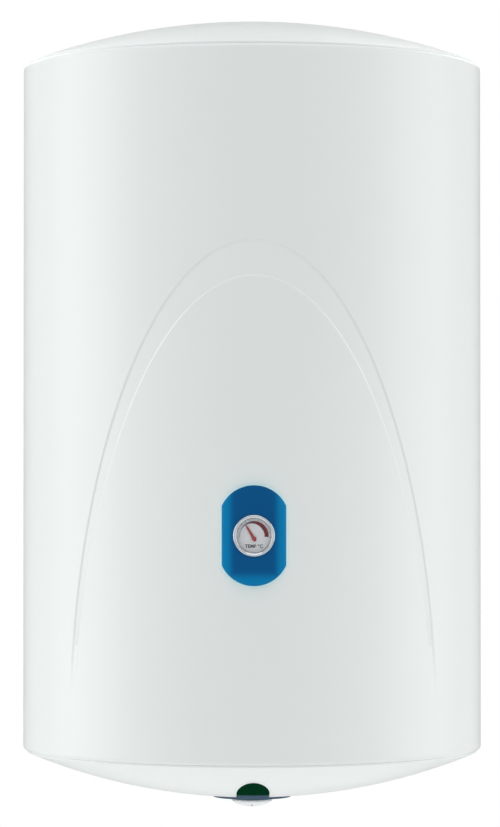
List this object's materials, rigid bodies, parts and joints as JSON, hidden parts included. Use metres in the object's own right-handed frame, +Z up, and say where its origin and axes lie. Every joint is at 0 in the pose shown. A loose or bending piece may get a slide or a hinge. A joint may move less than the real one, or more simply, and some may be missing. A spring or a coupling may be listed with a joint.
{
  "type": "tank water heater",
  "caption": "Wall-hung round electric storage water heater with a dial thermometer, a temperature knob and pipe connections below.",
  "frame": {"origin": "on the wall plane, midway between the four wall slots of the two brackets", "axes": "+Z up along the tank, +Y into the wall, -Y towards the front with the badge, +X to the viewer's right"},
  "size_m": [0.45, 0.4795, 0.7694],
  "materials": {
    "casing_enamel": "gloss off-white paint",
    "cover_plastic": "satin off-white moulding",
    "zinc_steel": "zinc plated",
    "badge_blue": "high gloss deep blue",
    "badge_rim": "gloss pale blue",
    "black_plastic": "matt moulding",
    "bezel_chrome": "polished",
    "dial_white": "matt print",
    "clear_lens": "clear",
    "needle_red": "gloss",
    "brass": "plain",
    "copper": "plain copper",
    "foam": "rigid foam",
    "foam_base": "moulded bead foam",
    "tank_enamel": "dark blue enamel",
    "black_rubber": "matt",
    "flange_steel": "plain",
    "anode_metal": "dull magnesium",
    "thermostat_resin": "matt moulding",
    "button_red": "gloss",
    "knob_white": "satin",
    "pointer_blue": "satin",
    "plate_blue_grey": "satin",
    "window_green": "gloss, tinted",
    "lamp_glass": "tinted",
    "nipple_steel": "plated",
    "collar_blue": "satin",
    "collar_red": "satin",
    "white_plastic": "satin",
    "wire_brown": "sleeving",
    "wire_blue": "sleeving",
    "wire_green": "sleeving",
    "wire_grey": "sleeving"
  },
  "bodies": {
    "heater": {"casing": "casing_enamel", "top_cover": "cover_plastic", "bottom_cover": "cover_plastic", "cover_screws": "zinc_steel", "cover_lugs": "zinc_steel", "badge_panel": "badge_blue", "badge_trim": "badge_rim", "gauge_housing": "black_plastic", "gauge_bezel": "bezel_chrome", "gauge_dial": "dial_white", "gauge_lens": "clear_lens", "bimetal_coil": "brass", "heat_contact": "copper", "insulation": "foam", "insulation_base": "foam_base", "tank_shell": "tank_enamel", "tank_top_head": "tank_enamel", "tank_bottom_head": "tank_enamel", "tank_flange_ring": "tank_enamel", "flange_gasket": "black_rubber", "heater_flange": "flange_steel", "flange_bolts": "zinc_steel", "heating_element": "copper", "element_terminals": "zinc_steel", "anode_rod": "anode_metal", "anode_stud": "zinc_steel", "anode_nut": "zinc_steel", "thermostat_pocket": "copper", "thermostat_rod": "flange_steel", "thermostat_body": "thermostat_resin", "thermostat_tabs": "brass", "control_plate": "plate_blue_grey", "pilot_window": "window_green", "pilot_lamp": "lamp_glass", "lamp_holder": "black_plastic", "cold_nipple": "nipple_steel", "hot_nipple": "nipple_steel", "cold_collar": "collar_blue", "hot_collar": "collar_red", "hot_riser": "nipple_steel", "cold_diffuser": "white_plastic", "wall_bracket_upper": "zinc_steel", "wall_bracket_lower": "zinc_steel", "cable_gland": "white_plastic", "gland_cap": "white_plastic", "gland_locknut": "white_plastic", "terminal_block": "white_plastic", "terminal_screws": "brass", "earth_stud": "brass", "wire_live": "wire_brown", "wire_neutral": "wire_blue", "wire_earth": "wire_green", "element_wires": "wire_brown", "pilot_wires": "wire_grey"},
    "needle": {"gauge_needle": "needle_red", "gauge_shaft": "brass"},
    "knob": {"temperature_knob": "knob_white", "knob_pointer": "pointer_blue", "knob_spindle": "knob_white"},
    "reset": {"reset_button": "button_red"}
  },
  "joints": [
    {"name": "needle_turn", "type": "hinge", "parent": "heater", "child": "needle", "pos_m": [0, -0.476, -0.1248], "axis": [0, 1, 0], "range_deg": [-59, 121]},
    {"name": "knob_turn", "type": "hinge", "parent": "heater", "child": "knob", "pos_m": [0, -0.245, -0.387], "axis": [0, 0, 1], "range_deg": [-135, 135]},
    {"name": "reset_press", "type": "slide", "parent": "heater", "child": "reset", "axis": [0, 0, 1], "range_m": [0, 0.0015], "stiffness_N_per_m": 800, "springref_m": -0.001}
  ]
}
